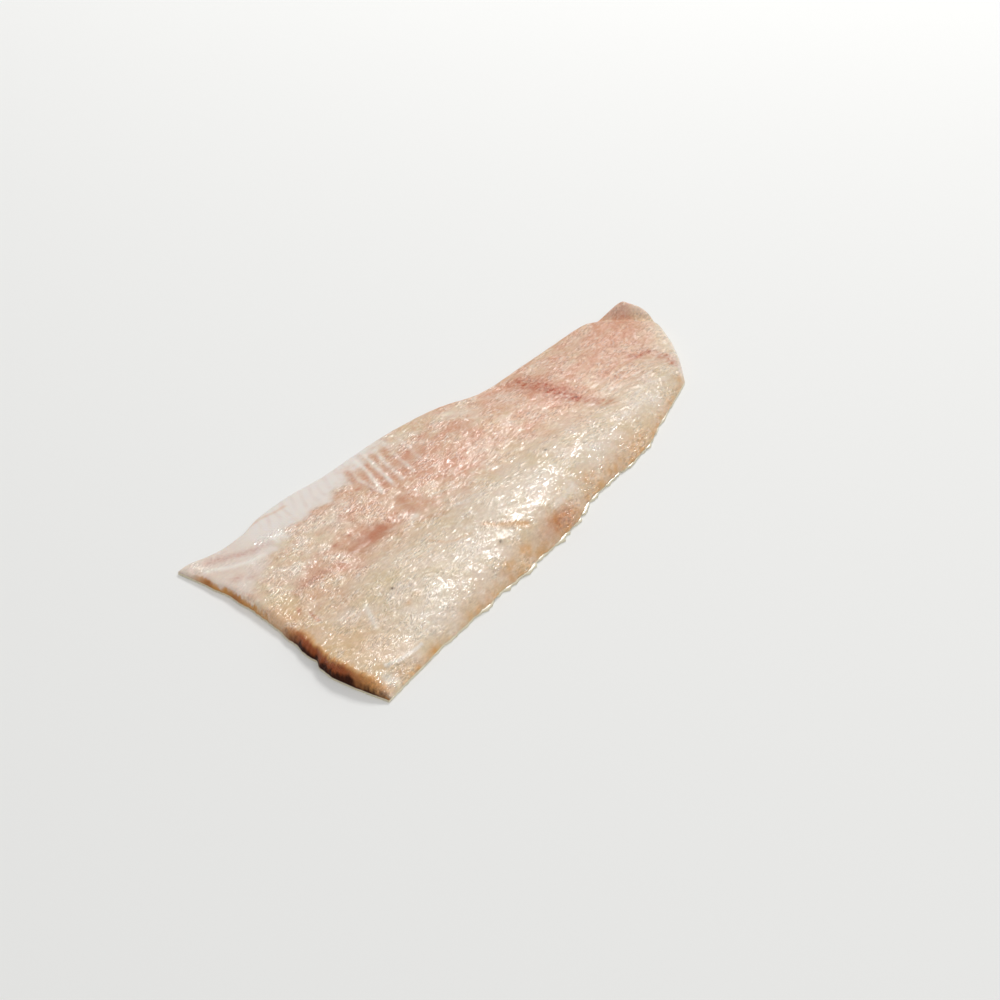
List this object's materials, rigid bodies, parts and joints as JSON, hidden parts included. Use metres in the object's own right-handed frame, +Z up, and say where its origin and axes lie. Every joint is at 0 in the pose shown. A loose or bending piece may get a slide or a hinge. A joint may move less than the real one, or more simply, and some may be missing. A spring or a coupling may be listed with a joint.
{
  "type": "whitefish fillet",
  "caption": "Raw whitefish fillet lying flesh side up: a thick loin along the back edge, a thin belly flap under a pale film, a slanted head cut and a tapered tail with a bent-up corner.",
  "frame": {"origin": "middle of the box around the fillet, on the surface that it lies on", "axes": "+X from the head cut to the tail, +Y from the back edge to the belly edge, +Z up out of the flesh"},
  "size_m": [0.3049, 0.1121, 0.0115],
  "materials": {
    "flesh": "moist raw fish flesh, pale pink to cream",
    "skin": "moist silvery fish skin with fine scales"
  },
  "bodies": {
    "root": {"fillet": "flesh"}
  },
  "joints": []
}
